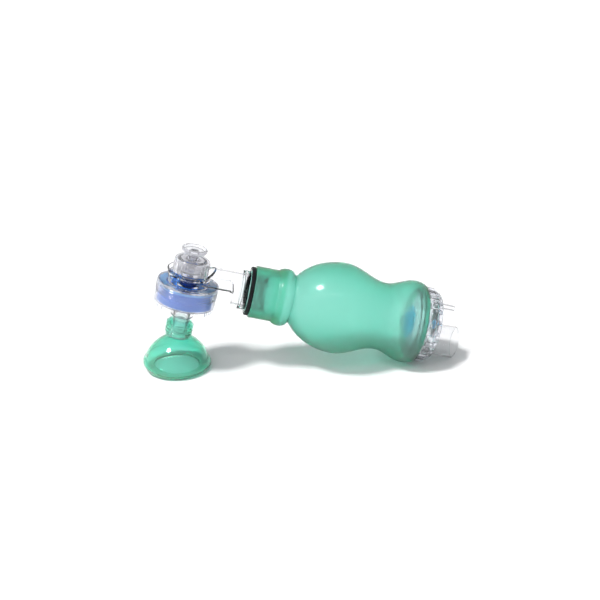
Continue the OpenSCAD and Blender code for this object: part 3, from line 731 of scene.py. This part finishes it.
def vent_flap(node, body, side, face, outward):
    """Small umbrella flap on a face of the rear plate, with its stem through the plate."""
    under, edge, crown = [face + outward * rise for rise in (0.15, 0.5, 0.95)]
    flap_r, stem_r, stem_end = 4.5, 0.93, face - outward * 4.0
    piece = turned("vent", [
        (0, crown), (2.0, crown, 0.3), (flap_r, edge, 0.15), (flap_r, under, 0.1),
        (stem_r, under, 0.1), (stem_r, stem_end, 0.2), (0, stem_end)], sides=64)
    show(moved(piece, vent_place(side)), BAG, body, "blue_silicone", FLAP_BLUE, node)


# ---- Mask ----

COLLAR_R, COLLAR_LOW, COLLAR_BORE = 12.1, -57.5, 7.6
DOME_R, DOME_LOW, DOME_WALL = 30.8, 8, 2
DOME_TOP = CENTRE.z / MM + COLLAR_LOW * VALVE_AXIS.z + 1
# Above 1 the dome is slimmer than half an ellipse
SLIMNESS = 1.18


def dome_point(angle, inset):
    """Point (radius, height) of the dome's outline, moved in by the inset."""
    return ((DOME_R - inset) * math.cos(angle) ** SLIMNESS,
            DOME_LOW + (DOME_TOP - DOME_LOW - inset) * math.sin(angle) ** SLIMNESS)


def mask_collar():
    """Ribbed collar with a groove for the stem's bead, cut off where it stands on the dome."""
    rib_r, rib_middle_r, first, step, count = 1.2, 11.9, -45.3, 2.8, 4
    ribs = []
    for i in reversed(range(count)):
        z = first - i * step
        ribs += [(rib_middle_r + rib_r * math.cos(a), z + rib_r * math.sin(a))
                 for a in (math.radians(15 * k) for k in range(-5, 6))]
    neck = fillet([(COLLAR_R, -44.0, 0.6), (10.1, -41.8, 0.9), (8.6, -40.6, 0.8), (8.6, -37.9, 0.5),
                   (COLLAR_BORE, -37.9, 0.3)])
    bead_groove = [(COLLAR_BORE, -47.9), (8.6, -47.9), (8.6, -50.1), (COLLAR_BORE, -50.1)]
    piece = lathe("collar", [
        (COLLAR_R, COLLAR_LOW), (COLLAR_R, -55.0), *ribs, *neck, *bead_groove, (COLLAR_BORE, COLLAR_LOW)])
    moved(piece, MASK.inverted() @ VALVE)
    gap = 0.01
    cap = [dome_point(math.radians(2 * k), -gap) for k in range(45)]
    boolean(piece, "DIFFERENCE", lathe("dome", [(0, DOME_LOW), *cap, (0, DOME_TOP + gap)]))
    show(piece, MASK, "mask", "mask_silicone", COLLAR_GREEN, "mask_collar")


def mask_dome():
    """Dome and cushion in one moulding: a thin wall that flares into a lip rolled under and inwards."""
    half_wall = DOME_WALL / 2
    lip_at, lip_z, lip_r = 26.1, 5.8, 5.8
    middle = [dome_point(math.radians(degrees), half_wall) for degrees in range(88, 6, -2)]
    middle += [(lip_at + lip_r * math.cos(a), lip_z + lip_r * math.sin(a))
               for a in (math.radians(degrees) for degrees in range(34, -140, -6))]
    outer, inner = [(0, DOME_TOP)], [(0, DOME_TOP - DOME_WALL)]
    for i, point in enumerate(middle):
        here = Vector(point)
        along = (Vector(middle[min(i + 1, len(middle) - 1)]) - Vector(middle[max(i - 1, 0)])).normalized()
        across = Vector((-along.y, along.x)) * half_wall
        outer.append(tuple(here + across))
        inner.append(tuple(here - across))
    end = Vector(middle[-1])
    arm = Vector(outer[-1]) - end
    tip = [tuple(end + Matrix.Rotation(-math.pi * k / 6, 2) @ arm) for k in range(1, 6)]
    piece = lathe("mask", outer + tip + inner[::-1], 192)
    bore = moved(rod(COLLAR_BORE, -75, -38, 96), MASK.inverted() @ VALVE)
    boolean(piece, "DIFFERENCE", bore)
    moved(piece, MASK)

    def pressed(p):
        """Squashes the lower part of the lip onto the table."""
        high, table_gap = 4 * MM, 0.02 * MM
        lowest = (lip_z - lip_r - half_wall) * MM - (p.x - MASK.translation.x) * math.sin(MASK_LEAN)
        if p.z > high or lowest > 0:
            return p
        return Vector((p.x, p.y, high - (high - p.z) * (high - table_gap) / (high - lowest)))

    reshape(piece, pressed)
    show(piece, Matrix.Identity(4), "mask", "mask_silicone", MASK_GREEN, "mask_dome", "mask_cushion",
         crease=math.radians(50))


def mask_connector():
    piece = turned("stem", [(5.9, -55.5), (7.5, -55.5), (7.5, -50, 0.2), (8.5, -50, 0.4), (8.5, -48, 0.4),
                            (7.5, -48, 0.2), (7.5, -26, 0.5), (5.9, -26, 0.3)], sides=96)
    show(piece, VALVE, "mask", "clear_plastic", CLEAR, "mask_connector")


# ---- The pieces ----

for make in (popoff_knob, popoff_cap, popoff_spring, popoff_poppet, upper_housing, valve_carrier, lip_valve,
             locking_ring, lower_housing, neck_connector, neck_oring, bag, inlet_body, inlet_flap,
             inlet_flap_pin, retaining_ring, reservoir_adapter, oxygen_nipple, mask_connector,
             mask_collar, mask_dome):
    make()
vent_flap("air_intake_flap", "air_flap", -1, PLATE_FRONT, -1)
vent_flap("relief_flap", "relief", 1, PLATE_BACK, 1)

# CAD nodes that stay, in the finish of their slot
STAYING = {"popoff_cap_seal": WHITE, "valve_gasket": BRIGHT_BLUE, "swivel_seal": WHITE, "swivel_clip": CLEAR,
           "inlet_gasket": BLACK}
for node, material in STAYING.items():
    node_mesh = frame["nodes"][node].data
    node_mesh.materials.clear()
    node_mesh.materials.append(material)

# ---- Floor, light and camera ----


def floor():
    half_size, z = 14.0, -0.0002
    corners = [(-half_size, -half_size, z), (half_size, -half_size, z), (half_size, half_size, z),
               (-half_size, half_size, z)]
    made = mesh_object("floor", corners, [(0, 1, 2, 3)])
    material, tree, shader = new_material("pale_floor")
    shader.inputs["Roughness"].default_value = 0.6
    shader.inputs["Specular IOR Level"].default_value = 0.1
    link(tree, ramp(tree, noise(tree, 3), (0.3, (0.90, 0.90, 0.90)), (0.7, (0.91, 0.91, 0.91))),
         shader.inputs["Base Color"])
    made.data.materials.append(material)


def strip_light(name, direction, distance, size, power, long_axis):
    """Soft strip above the object, facing it, with its long side along the given axis."""
    data = bpy.data.lights.new(name, "AREA")
    data.shape = "RECTANGLE"
    data.size, data.size_y = size
    data.energy = power
    light = bpy.data.objects.new(name, data)
    back = Vector(direction).normalized()
    x_axis = (Vector(long_axis) - back * back.dot(Vector(long_axis))).normalized()
    turn = Matrix((x_axis, back.cross(x_axis), back)).transposed().to_4x4()
    light.matrix_world = Matrix.Translation(back * distance) @ turn
    bpy.context.scene.collection.objects.link(light)


def sun(direction, width, strength):
    """Wide soft sun that comes from the given direction. Its width is in degrees."""
    data = bpy.data.lights.new("key_sun", "SUN")
    data.angle = math.radians(width)
    data.energy = strength
    light = bpy.data.objects.new("key_sun", data)
    light.rotation_mode = "QUATERNION"
    light.rotation_quaternion = Vector(direction).to_track_quat("Z", "Y")
    bpy.context.scene.collection.objects.link(light)


def sky():
    """White around the horizon and greyer overhead, so that clear edges show."""
    world = bpy.data.worlds.new("studio")
    bpy.context.scene.world = world
    world.use_nodes = True
    tree = world.node_tree
    space = tree.nodes.new("ShaderNodeTexCoord")
    split = tree.nodes.new("ShaderNodeSeparateXYZ")
    link(tree, space.outputs["Generated"], split.inputs["Vector"])
    colour = ramp(tree, split.outputs["Z"], (0.0, (1, 1, 1)), (0.4, (1, 1, 1)), (0.75, (0.42, 0.43, 0.45)),
                  (1.0, (0.30, 0.31, 0.33)))
    background = tree.nodes["Background"]
    background.inputs["Strength"].default_value = 0.78
    link(tree, colour, background.inputs["Color"])


def camera():
    target = Vector((-0.0014, 0, 0.0657))
    azimuth, elevation, distance = math.radians(-4.5), math.radians(22.5), 0.8135
    back = Vector((math.sin(azimuth) * math.cos(elevation), -math.cos(azimuth) * math.cos(elevation),
                   math.sin(elevation)))
    data = bpy.data.cameras.new("camera")
    data.sensor_width = 36
    data.lens = 51
    made = bpy.data.objects.new("camera", data)
    made.location = target + back * distance
    made.rotation_mode = "QUATERNION"
    made.rotation_quaternion = (-back).to_track_quat("-Z", "Y")
    bpy.context.scene.collection.objects.link(made)
    bpy.context.scene.camera = made


floor()
sun(direction=(-0.45, -0.2, 1), width=12, strength=2.85)
strip_light("front_strip", direction=(-0.28, -0.55, 0.8), distance=1.3, size=(1.6, 0.04), power=2.8,
            long_axis=(1, 0, 0))
sky()
camera()
bpy.context.scene.view_settings.view_transform = "Standard"
